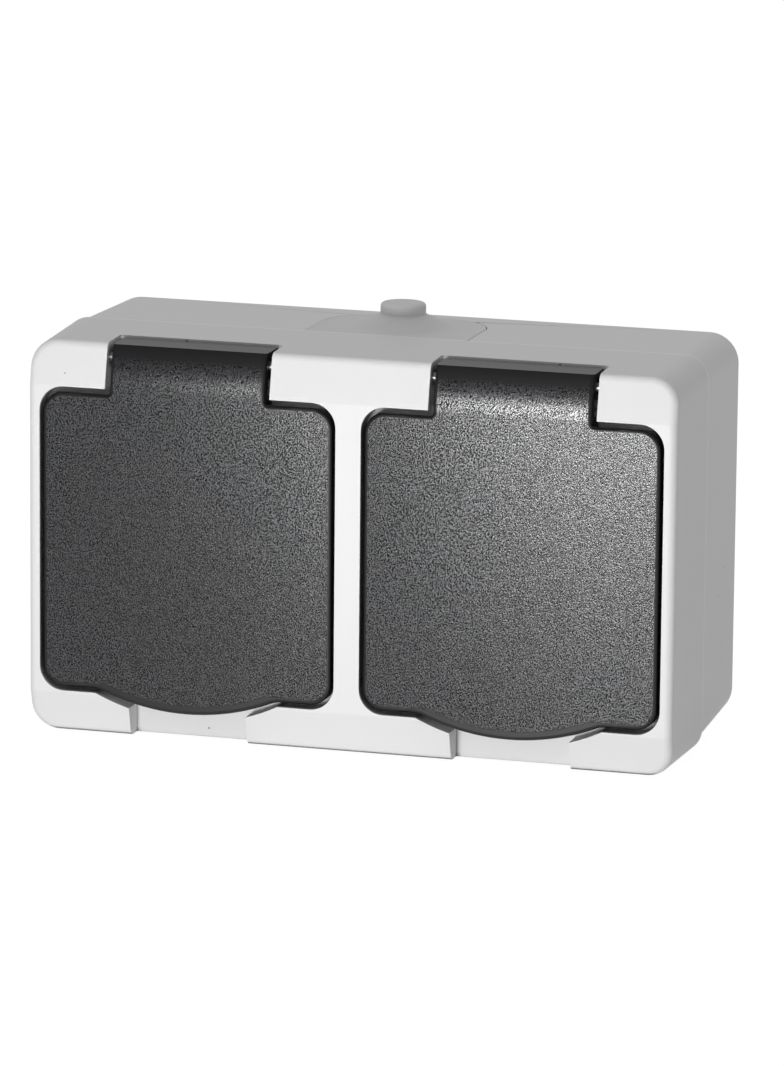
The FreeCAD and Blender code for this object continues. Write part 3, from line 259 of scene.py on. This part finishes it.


# %% [markdown]
# ## The housing's plastic
#
# Light grey, moulded in a tool with a fine even spark finish. Its grain is far finer than a
# millimetre, so it is bump and a little change in roughness, not geometry. Where something stands
# within a millimetre or two in front of the plastic, as in a narrow gap between two mouldings, its
# colour is painted dark: painted shade of the gap. A thin line along the joint between cover and
# box is painted lighter, a painted highlight of its edge, and a few specks of dirt sit where the
# real one has them.

# %% Housing plastic
HOUSING_TONES = ((0.775, 0.77, 0.77, 1), (0.80, 0.795, 0.795, 1))
HOUSING_GRAIN = 0.35 * MM
HOUSING_CLOUD = 14 * MM
# The gap constants set the painted shade in narrow gaps: how far the AO node looks, and how dark the colour
# turns.
GAP_REACH = 1.4 * MM
GAP_SHUT, GAP_OPEN = 0.36, 0.72
GAP_SHADE_TONE = (0.016, 0.011, 0.009, 1)
# The joint constants set a painted highlight: a thin lighter line along the joint between cover and box.
JOINT_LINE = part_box("front_cover")[1][1]
JOINT_HALF = 0.5 * MM
JOINT_HIGHLIGHT_TONE = (0.93, 0.93, 0.93, 1)
SPECK_TONE = (0.36, 0.33, 0.31, 1)
SPECKS = {
    "top_middle": ((-6.76, -23.32, 40.82), 0.3),
    "over_right_tab": ((41.08, -44.7, 40.47), 0.4),
    "over_left_tab": ((-37.22, -44.7, 40.52), 0.4),
    "side_upper": ((67.52, -10.29, -6.5), 0.25),
    "side_lower": ((67.57, -15.41, -11.48), 0.25),
    "left_scoop": ((-31.03, -48.6, -39.07), 0.3),
    "front_corner": ((-60.07, -54.42, 34.27), 0.22),
}


def speck_mask(tree):
    """One inside a speck, nought elsewhere. Places and radii are in millimetres."""
    mask = None
    for place, radius in SPECKS.values():
        centre = tuple(part * MM for part in place)
        ends = {0: tree.place, 1: centre}
        away = tree.node("ShaderNodeVectorMath", {"operation": "DISTANCE"}, ends)["Value"]
        spot = 1 - away.ramp(radius * 0.5 * MM, radius * MM)
        mask = spot if mask is None else mask.largest(spot)
    return mask


def housing_plastic():
    """Light grey plastic with a fine matte grain, faint clouds in its tone, painted shade in gaps and a
    painted highlight.
    """
    tree = Tree("housing_plastic")
    grain = tree.noise(HOUSING_GRAIN, detail=3, roughness=0.6)
    clouds = tree.noise(HOUSING_CLOUD, detail=2)
    clean = tree.mix_colour(clouds, *HOUSING_TONES)
    _, y, _ = tree.axes()
    # Painted highlight: a thin lighter line along the joint, the light that its edge would catch.
    joint = 1 - (y - JOINT_LINE).math("ABSOLUTE").ramp(JOINT_HALF * 0.5, JOINT_HALF)
    highlit = tree.mix_colour(joint, clean, JOINT_HIGHLIGHT_TONE)
    marked = tree.mix_colour(speck_mask(tree), highlit, SPECK_TONE)
    # Painted shade: the colour turns dark where the AO node finds another part close in front, as in the
    # gaps.
    light = tree.node("ShaderNodeAmbientOcclusion", {"samples": 6}, {"Distance": GAP_REACH})["AO"]
    tone = tree.mix_colour(light.ramp(GAP_SHUT, GAP_OPEN), GAP_SHADE_TONE, marked)
    roughness = 0.42 + grain * 0.12 + clouds * 0.04
    return tree.finish(Base_Color=tone, Roughness=roughness, Normal=tree.bump(grain, 0.012 * MM))


MATERIALS = {"housing": housing_plastic()}
print("housing plastic with", len(SPECKS), "specks")

# %% [markdown]
# ## Where a lid is grained
#
# The leather grain covers the flat front and the tab. The rim all round, the round edges and the
# upper band of the tab are smooth. The solid's own normal tells the front from the edges, and the
# distance from the lower edge with its round lip gives the rim there.

# %% The grained part of a lid
LID_MIDDLE = 34 * MM
LID_LOW = -31.0 * MM
LIP_RADIUS = 46.07 * MM
LIP_CENTRE = 10.97 * MM
LIP_EXTRA = 0.8 * MM
RIM_WIDTH = 1.0 * MM
RIM_FADE = 0.15 * MM
TAB_FOOT = 30.6 * MM
TAB_BAND = 37.4 * MM
BAND_FADE = 1.2 * MM


def inside_lip(across, z):
    """How far a point of the lid lies inside its lower edge with the round lip."""
    up = z - LIP_CENTRE
    from_lip = LIP_RADIUS - LIP_EXTRA - (across * across + up * up).math("SQRT")
    return (z - LID_LOW).largest(from_lip)


def front_mask(nx, ny, nz):
    """One where the surface faces the front, nought where it turns to a side or downwards."""
    ahead = (0 - ny).ramp(0.86, 0.93)
    not_aside = 1 - nx.math("ABSOLUTE").ramp(0.05, 0.12)
    return ahead * not_aside * nz.ramp(-0.12, -0.05)


def grain_mask(front, across, z, nz):
    """One on the grained front and tab, nought on the smooth rim, edges and upper band."""
    flat_or_tab = (1 - nz.ramp(0.04, 0.1)).largest(z.ramp(TAB_FOOT, TAB_FOOT + 0.2 * MM))
    below_band = 1 - z.ramp(TAB_BAND, TAB_BAND + BAND_FADE)
    off_the_rim = inside_lip(across, z).ramp(RIM_WIDTH, RIM_WIDTH + RIM_FADE)
    return front * flat_or_tab * below_band * off_the_rim


print("rim", RIM_WIDTH / MM, "mm wide")

# %% [markdown]
# ## The lids' plastic
#
# Near black, with the leather grain that the moulding tool leaves. The grain is noise drawn out
# along a lean, so its creases run down to the right. A bump alone would hide the soft sheen of the
# whole lid, so the noise also chooses between two plastics: its pads are glossy and its creases
# matt. The bump adds only their edges, and the slight bow of the lid, which spreads the sheen. The
# creases are also painted darker than the pads: painted shade of the grain's hollows.

# %% Lid plastic
GRAIN_SIZE = 0.215 * MM
GRAIN_LEAN = math.radians(-57)
GRAIN_STRETCH = 1.55
GRAIN_DEPTH = 0.026 * MM
GRAIN_GLOSS = 0.25
RIM_GLOSS = 0.4
PAD_SHINE = 0.46
PAD_CONTRAST = 2.2
RIM_SHINE = 0.34
TOP_SHINE = 0.74
SHINE_IOR = 1.95
MATT_IOR = 1.15
# The creases' colour is painted shade, far darker than the pads' colour.
CREASE_SHADE_TONE = (0.0016, 0.0017, 0.0022, 1)
PAD_TONE = (0.0165, 0.0167, 0.0205, 1)
BOW_ACROSS = 0.038 / (30 * MM)
BOW_UP = -0.019 / (30 * MM)


def leather(tree):
    """Noise drawn out along its lean: low in the creases, high on the pads."""
    stretch = (GRAIN_STRETCH, 1, 1 / GRAIN_STRETCH)
    lean = {"Vector": tree.place, "Rotation": (0, GRAIN_LEAN, 0), "Scale": stretch}
    leaning = tree.node("ShaderNodeMapping", {"vector_type": "TEXTURE"}, lean)["Vector"]
    return tree.noise(GRAIN_SIZE, detail=0, vector=leaning)


def lid_plastic():
    """Near-black plastic: grained on the flat front, smooth on its rim and round edges."""
    tree = Tree("lid_plastic")
    x, _, z = tree.axes()
    nx, ny, nz = tree.axes(tree.facing)
    across = x.math("ABSOLUTE") - LID_MIDDLE
    front = front_mask(nx, ny, nz)
    mask = grain_mask(front, across, z, nz)
    grain = leather(tree)
    clouds = tree.noise(5 * MM, detail=3)
    plain = RIM_SHINE + nz.ramp(0.7, 0.9) * (TOP_SHINE - RIM_SHINE)
    pads = (PAD_SHINE + (grain - 0.5) * PAD_CONTRAST).smallest(1.0).largest(0.0)
    shine = plain + mask * (pads - plain)
    roughness = RIM_GLOSS + mask * (GRAIN_GLOSS - RIM_GLOSS + clouds * 0.03)
    bow = (across * across * BOW_ACROSS + z * z * BOW_UP) * -0.5
    normal = tree.bump(grain * mask * GRAIN_DEPTH + bow * front, 1.0)
    # Painted shade: the grain's creases are coloured darker than its pads.
    tone = tree.mix_colour(grain.ramp(0.3, 0.7) * mask, CREASE_SHADE_TONE, PAD_TONE)
    glossy = tree.shader(Base_Color=tone, Roughness=roughness, Normal=normal, IOR=SHINE_IOR)
    matt = tree.shader(Base_Color=tone, Roughness=0.6, Normal=normal, IOR=MATT_IOR)
    return tree.close(tree.node("ShaderNodeMixShader", None, {0: shine, 1: matt, 2: glossy})["Shader"])


MATERIALS["lid"] = lid_plastic()
print("lid grain", round(GRAIN_SIZE / MM, 3), "mm")

# %% [markdown]
# ## The other finishes
#
# Rubber, zinc-plated steel, stamped brass and the plain plastics inside. They show when a lid is
# open, so each gets the small unevenness that its real surface has.


# %% Rubber, steel, brass and the inner plastics
def plain_plastic(name, colour, roughness, grain_mm):
    """A moulded plastic of one colour with a fine grain."""
    tree = Tree(name)
    grain = tree.noise(grain_mm * MM, detail=3)
    clouds = tree.noise(9 * MM)
    tone = tree.mix_colour(clouds, darker(colour, 0.92), colour)
    normal = tree.bump(grain, 0.01 * MM)
    return tree.finish(Base_Color=tone, Roughness=roughness + grain * 0.1, Normal=normal)


def metal(name, colour, roughness):
    """A bright metal with fine drawn scratches."""
    tree = Tree(name)
    drawn = {"Vector": tree.place, "Scale": (1.0, 1.0, 12.0)}
    stretched = tree.node("ShaderNodeMapping", None, drawn)["Vector"]
    scratches = tree.noise(0.8 * MM, detail=4, vector=stretched)
    tone = tree.mix_colour(scratches, darker(colour, 0.85), colour)
    rough = roughness + scratches * 0.15
    normal = tree.bump(scratches, 0.006 * MM)
    return tree.finish(Base_Color=tone, Roughness=rough, Metallic=1.0, Normal=normal)


MATERIALS.update(
    cup=plain_plastic("cup_plastic", grey(0.03), 0.35, 0.4),
    seal=plain_plastic("seal_rubber", grey(0.012), 0.6, 0.25),
    grommet=plain_plastic("grommet_plastic", grey(0.76), 0.5, 0.3),
    carrier=plain_plastic("carrier_plastic", (0.7, 0.68, 0.62, 1), 0.45, 0.4),
    steel=metal("zinc_steel", (0.72, 0.72, 0.74, 1), 0.22),
    contact=metal("stamped_brass", (0.78, 0.6, 0.32, 1), 0.25),
)
print("finishes:", ", ".join(MATERIALS))

# %% [markdown]
# ## Dressing the solids
#
# The record says which finish each solid has. A solid whose shape is right only gets its material.


# %% Each solid's finish
def dress(piece, slot):
    """Gives a piece the material of a slot, and no other."""
    piece.data.materials.clear()
    piece.data.materials.append(MATERIALS[slot])


for part in frame["record"]["subparts"]:
    dress(frame["nodes"][part["node"]], part["material_slot"])
print("dressed", len(frame["nodes"]), "nodes")

# %% [markdown]
# ## Copies of solids
#
# A solid's mesh is loose triangles, which no modifier can round. So a copy is welded first, and
# afterwards its modifiers are turned into plain mesh.


# %% Welded copies
def welded_copy(node_name, piece_name):
    """A copy of a solid's mesh with its loose triangles welded."""
    mesh = bpy.data.meshes.new(piece_name)
    form = bmesh.new()
    form.from_mesh(frame["nodes"][node_name].data)
    bmesh.ops.remove_doubles(form, verts=form.verts, dist=0.002 * MM)
    form.to_mesh(mesh)
    form.free()
    piece = bpy.data.objects.new(piece_name, mesh)
    bpy.context.scene.collection.objects.link(piece)
    return piece


def plain_mesh(piece):
    """Turns a piece's modifiers into plain mesh, and removes them."""
    bpy.context.view_layer.update()
    done = bpy.data.meshes.new_from_object(piece.evaluated_get(bpy.context.evaluated_depsgraph_get()))
    piece.modifiers.clear()
    piece.data = done


# %% [markdown]
# ## Soft edges on the box, the grommet, the cups and the clips
#
# Moulded plastic and stamped metal have no knife edges: each one is broken by a tenth or two of a
# millimetre, and catches a thin line of light. A Bevel modifier rounds the edges that turn
# sharply, which get a weight for it. An edge where more or fewer than two faces meet gets none,
# because a bevel would tear it. The cover and the lids need no copy, as the roundings that show
# are in their solids.

# %% Soft edges
SHARP = math.radians(32)


def weigh_sharp_edges(mesh):
    """Marks the edges that the bevel rounds."""
    form = bmesh.new()
    form.from_mesh(mesh)
    weight = form.edges.layers.float.new("bevel_weight_edge")
    for edge in form.edges:
        edge[weight] = 1.0 if edge.is_manifold and edge.calc_face_angle(0) > SHARP else 0.0
    form.to_mesh(mesh)
    form.free()


def smooth_by_angle(piece):
    """Smooth shading that stops at sharp edges."""
    piece.data.shade_smooth()
    piece.data.set_sharp_from_angle(angle=SHARP)


def soften(node_name, slot, width_mm):
    """Stands a copy with rounded edges in for a solid of the housing."""
    piece = welded_copy(node_name, f"{node_name}_soft")
    weigh_sharp_edges(piece.data)
    bevel = piece.modifiers.new("soft_edges", "BEVEL")
    bevel.width = width_mm * MM
    bevel.segments = 2
    bevel.limit_method = "WEIGHT"
    bevel.use_clamp_overlap = False
    smooth_by_angle(piece)
    flat = piece.modifiers.new("true_normals", "WEIGHTED_NORMAL")
    flat.keep_sharp = True
    plain_mesh(piece)
    dress(piece, slot)
    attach(piece, "housing")
    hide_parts(node_name)
    print(piece.name, len(piece.data.polygons), "faces")


soften("base_box", "housing", 0.22)
soften("cable_grommet", "grommet", 0.15)
for side in ("left", "right"):
    soften(f"socket_cup_{side}", "cup", 0.25)
    soften(f"earth_clip_{side}", "steel", 0.1)

# %% [markdown]
# ## The lid springs
#
# A torsion spring is wound round each hinge pin. One leg lies on the floor of the notch and the
# other under the lid's tab, so the coil winds up as the lid opens. A stiff copy would cut through
# the tab. Here each spring is a welded copy in the steel finish that stands in for the solid; it
# does not twist.


def wind(side):
    """Stands a welded copy of a lid's spring in for it, in the steel finish."""
    node_name = f"lid_spring_{side}"
    piece = welded_copy(node_name, f"{node_name}_wound")
    dress(piece, "steel")
    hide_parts(node_name)
    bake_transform(piece)


for side in ("left", "right"):
    wind(side)

# %% [markdown]
# ## A tree that makes geometry
#
# Geometry Nodes use the same Math nodes as materials, so the same sums work in them. A turned form,
# such as a screw, is a flat grid rolled up: each row of the grid is a ring, and a rule gives the
# ring's radius and height.


# %% Geometry from sums
class FormTree(Tree):
    """A Geometry Nodes tree, with the same sums and the same one method for nodes."""

    def __init__(self, name, sizes):
        self.group = bpy.data.node_groups.new(name, "GeometryNodeTree")
        self.nodes = self.group.nodes
        self.links = self.group.links
        sockets = self.group.interface
        sockets.new_socket("Geometry", in_out="INPUT", socket_type="NodeSocketGeometry")
        sockets.new_socket("Geometry", in_out="OUTPUT", socket_type="NodeSocketGeometry")
        for size_name in sizes:
            sockets.new_socket(size_name, in_out="INPUT", socket_type="NodeSocketFloat")
        self.given = self.node("NodeGroupInput")

    def rolled(self, rows, columns, shape):
        """A grid rolled into a turned form. The shape gives radius and height by turn and row."""
        sizes = {"Size X": 1.0, "Size Y": 1.0, "Vertices X": columns, "Vertices Y": rows}
        grid = self.node("GeometryNodeMeshGrid", None, sizes)["Mesh"]
        across, along, _ = self.axes(self.node("GeometryNodeInputPosition")["Position"])
        turn, row = across + 0.5, along + 0.5
        radius, height = shape(turn, row)
        angle = turn * (2 * math.pi)
        parts = {"X": angle.math("COSINE") * radius, "Y": angle.math("SINE") * radius, "Z": height}
        spot = self.node("ShaderNodeCombineXYZ", None, parts)["Vector"]
        moved = self.node("GeometryNodeSetPosition", None, {"Geometry": grid, "Position": spot})["Geometry"]
        seam = {"Geometry": moved, "Distance": 1e-6}
        return self.node("GeometryNodeMergeByDistance", None, seam)["Geometry"]

    def joined(self, *forms):
        """Several forms as one geometry."""
        node = self.nodes.new("GeometryNodeJoinGeometry")
        for form in forms:
            self.links.new(form.socket, node.inputs[0])
        return Signal(self, node.outputs[0])


# %% [markdown]
# ## The screws
#
# The cups and the carrier are held by pan-headed screws with a straight slot. They are all alike,
# so one tree makes them: a grid is rolled up into a domed head, another into a threaded shank, and
# a slot is cut. A copy is set on each place with its slot turned at random, as a hand leaves it.

# %% One screw, and a copy on each place
SCREW_SIZES = ("Head", "Height", "Slot", "Shank", "Length", "Pitch")
OUTWARDS = (math.pi / 2, 0, 0)


def slotted_head(tree, head, height, slot):
    """A low dome, closed underneath, with a straight slot across it."""

    def dome(turn, row):
        rise = row.ramp(0.25, 1.0)
        side = (1 - rise.math("POWER", 3.0)) * row.math("GREATER_THAN", 0.02)
        return head * side, height * (rise * (math.pi / 2)).math("SINE")

    form = tree.rolled(14, 41, dome)
    size = tree.node("ShaderNodeCombineXYZ", None, {"X": head * 3, "Y": slot, "Z": slot * 2})["Vector"]
    cutter = tree.node("GeometryNodeMeshCube", None, {"Size": size})["Mesh"]
    lift = tree.node("ShaderNodeCombineXYZ", None, {"Z": height})["Vector"]
    raised = tree.node("GeometryNodeTransform", None, {"Geometry": cutter, "Translation": lift})["Geometry"]
    cut, how = {"Mesh 1": form, "Mesh 2": raised}, {"operation": "DIFFERENCE", "solver": "EXACT"}
    return tree.node("GeometryNodeMeshBoolean", how, cut)["Mesh"]


def threaded_shank(tree, shank, length, pitch):
    """A shank whose radius rises and falls once each turn."""

    def thread(turn, row):
        wave = (row * length / pitch + turn).math("FRACT")
        ridge = (wave - 0.5).math("ABSOLUTE") * 2
        inside = row.math("GREATER_THAN", 0.01)
        return (shank - ridge * pitch * 0.3) * inside, row * length - length

    return tree.rolled(97, 25, thread)


def screw_tree(material):
    """Pan-headed screws, one on each point, pointing into the wall."""
    tree = FormTree("pan_head_screws", SCREW_SIZES)
    head, height, slot, shank, length, pitch = (tree.given[name] for name in SCREW_SIZES)
    screw = tree.joined(slotted_head(tree, head, height, slot), threaded_shank(tree, shank, length, pitch))
    copies = {"Points": tree.given["Geometry"], "Instance": screw, "Rotation": OUTWARDS}
    set_out = tree.node("GeometryNodeInstanceOnPoints", None, copies)["Instances"]
    chance = {"Min": (0, 0, 0), "Max": (0, 0, math.pi), "Seed": 7}
    twist = tree.node("FunctionNodeRandomValue", {"data_type": "FLOAT_VECTOR"}, chance)["Value"]
    by_hand = {"Instances": set_out, "Rotation": twist}
    turned = tree.node("GeometryNodeRotateInstances", None, by_hand)["Instances"]
    real = tree.node("GeometryNodeRealizeInstances", None, {"Geometry": turned})["Geometry"]
    dressed = tree.node("GeometryNodeSetMaterial", None, {"Geometry": real, "Material": material})["Geometry"]
    tree.node("NodeGroupOutput", None, {"Geometry": dressed})
    return tree.group


SCREWS = screw_tree(MATERIALS["steel"])
print("screw tree of", len(SCREWS.nodes), "nodes")

# %% [markdown]
# ## The screws in their places
#
# Each cup has one screw in its middle, and the carrier has one near each corner. The modifier gets
# its sizes by its sockets' identifiers, and its result becomes plain mesh, which stands in for the
# plain solids.

# %% Cup screws and carrier screws
SCREW_HEAD = 2.9 * MM
SCREW_HEIGHT = 1.8 * MM
SCREW_SLOT = 0.9 * MM
SCREW_SHANK = 1.45 * MM
SCREW_PITCH = 0.9 * MM


def make_screws(node_name, places):
    """The screws of one node, as one plain mesh."""
    low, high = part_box(node_name)
    length = high[1] - low[1] - SCREW_HEIGHT
    values = (SCREW_HEAD, SCREW_HEIGHT, SCREW_SLOT, SCREW_SHANK, length, SCREW_PITCH)
    sizes = dict(zip(SCREW_SIZES, values))
    mesh = bpy.data.meshes.new(node_name + "_threaded")
    mesh.from_pydata([(x, low[1] + SCREW_HEIGHT, z) for x, z in places], [], [])
    piece = bpy.data.objects.new(node_name + "_threaded", mesh)
    bpy.context.scene.collection.objects.link(piece)
    maker = piece.modifiers.new("screws", "NODES")
    maker.node_group = SCREWS
    for socket in SCREWS.interface.items_tree:
        if socket.in_out == "INPUT" and socket.name in sizes:
            maker[socket.identifier] = sizes[socket.name]
    plain_mesh(piece)
    smooth_by_angle(piece)
    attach(piece, "housing")
    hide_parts(node_name)
    print(piece.name, len(places), "screws,", len(piece.data.polygons), "faces")


def corner_places(node_name):
    """The places of screws at the four corners of a node's box, as X and Z."""
    low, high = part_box(node_name)
    across = (low[0] + SCREW_HEAD, high[0] - SCREW_HEAD)
    upright = (low[2] + SCREW_HEAD, high[2] - SCREW_HEAD)
    return [(x, z) for x in across for z in upright]


cup_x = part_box("cup_screws")[1][0] - SCREW_HEAD
make_screws("cup_screws", [(-cup_x, 0.0), (cup_x, 0.0)])
make_screws("carrier_screws", corner_places("carrier_screws"))

# %% [markdown]
# ## The floor
#
# A plain pale floor under the box. It is white to the camera and nearly white in a reflection, yet
# the light that it throws back, and the shadow on it, are those of a pale matte surface. The Light
# Path node tells these rays apart.

# %% Floor
FLOOR_SIZE = 6.0
FLOOR_SHARE = 0.88
FLOOR_MIRRORED = 0.8
FLOOR_GLOW = 1.1


def make_floor():
    """A pale floor that shows white to the camera and still takes a soft shadow."""
    bpy.ops.mesh.primitive_plane_add(size=FLOOR_SIZE, location=(0, 0, cad_box[0][2]))
    floor = bpy.context.object
    floor.name = "floor"
    tree = Tree("floor_white")
    path = tree.node("ShaderNodeLightPath")
    mirrored = path["Is Glossy Ray"].largest(path["Is Transmission Ray"])
    seen = (path["Is Camera Ray"] * FLOOR_SHARE).largest(mirrored * FLOOR_MIRRORED)
    soft = tree.node("ShaderNodeBsdfDiffuse", None, {"Color": grey(0.86)})["BSDF"]
    white = tree.node("ShaderNodeEmission", None, {"Color": grey(1.0), "Strength": FLOOR_GLOW})["Emission"]
    both = tree.node("ShaderNodeMixShader", None, {0: seen, 1: soft, 2: white})["Shader"]
    floor.data.materials.append(tree.close(both))


make_floor()
print("floor at", round(cad_box[0][2] / MM, 1), "mm, the underside of the box")

# %% [markdown]
# ## The room
#
# The world is an even dim room, brighter above and dimmer on the right, where the box's side is in
# shade. A reflection sees a dark front and a pale back, and the camera sees white.

# %% World
ROOM_SIDE = 0.26
ROOM_TOP = 0.64
RIGHT_DIM = 0.4
ROOM_FRONT = 0.3
ROOM_BACK = 0.75


class RoomTree(Tree):
    """The world's tree, whose place is the direction that a ray leaves in."""

    def __init__(self, world):
        world.use_nodes = True
        self.nodes = world.node_tree.nodes
        self.links = world.node_tree.links
        self.nodes.clear()
        self.place = self.node("ShaderNodeTexCoord")["Generated"]


def make_world():
    """A dim room for the light it gives, and a white backdrop for the camera."""
    world = bpy.data.worlds.new("room")
    bpy.context.scene.world = world
    tree = RoomTree(world)
    x, y, z = tree.axes()
    light = (ROOM_SIDE + z.largest(0.0) * (ROOM_TOP - ROOM_SIDE)) * (1 - x.largest(0.0) * RIGHT_DIM)
    mirrored = ROOM_FRONT + y.ramp(-0.1, 0.3) * (ROOM_BACK - ROOM_FRONT)
    path = tree.node("ShaderNodeLightPath")
    strength = light + path["Is Glossy Ray"] * (mirrored - light)
    seen = path["Is Camera Ray"].largest(path["Is Transmission Ray"])
    strength = strength + seen * (1 - strength)
    shade = tree.node("ShaderNodeBackground", None, {"Color": grey(1.0), "Strength": strength})["Background"]
    tree.node("ShaderNodeOutputWorld", None, {"Surface": shade})


make_world()
print("room from", ROOM_SIDE, "to", ROOM_TOP)

# %% [markdown]
# ## The lamps
#
# A soft lamp stands in front near the box. Its place makes the right lid's sheen brighter than the
# left one's. A weak lamp lower down lifts the dark lower halves of the lids. The Standard view
# shows each colour about as it is written.


# %% Lamps
def make_lamp(name, place, target, size, power):
    """A soft rectangular lamp that looks at a point."""
    data = bpy.data.lights.new(name, "AREA")
    data.shape = "RECTANGLE"
    data.size, data.size_y = size
    data.energy = power
    lamp = bpy.data.objects.new(name, data)
    bpy.context.scene.collection.objects.link(lamp)
    lamp.location = place
    lamp.rotation_euler = (Vector(target) - Vector(place)).to_track_quat("-Z", "Y").to_euler()
    lamp.visible_camera = False
    print(name, power, "W")


make_lamp("front_lamp", (-0.005, -0.37, -0.008), (0.0, -0.05, 0.0), (0.115, 0.042), 0.63)
make_lamp("low_lamp", (0.04, -0.37, -0.075), (0.03, -0.05, -0.02), (0.1, 0.05), 0.12)
bpy.context.scene.view_settings.view_transform = "Standard"
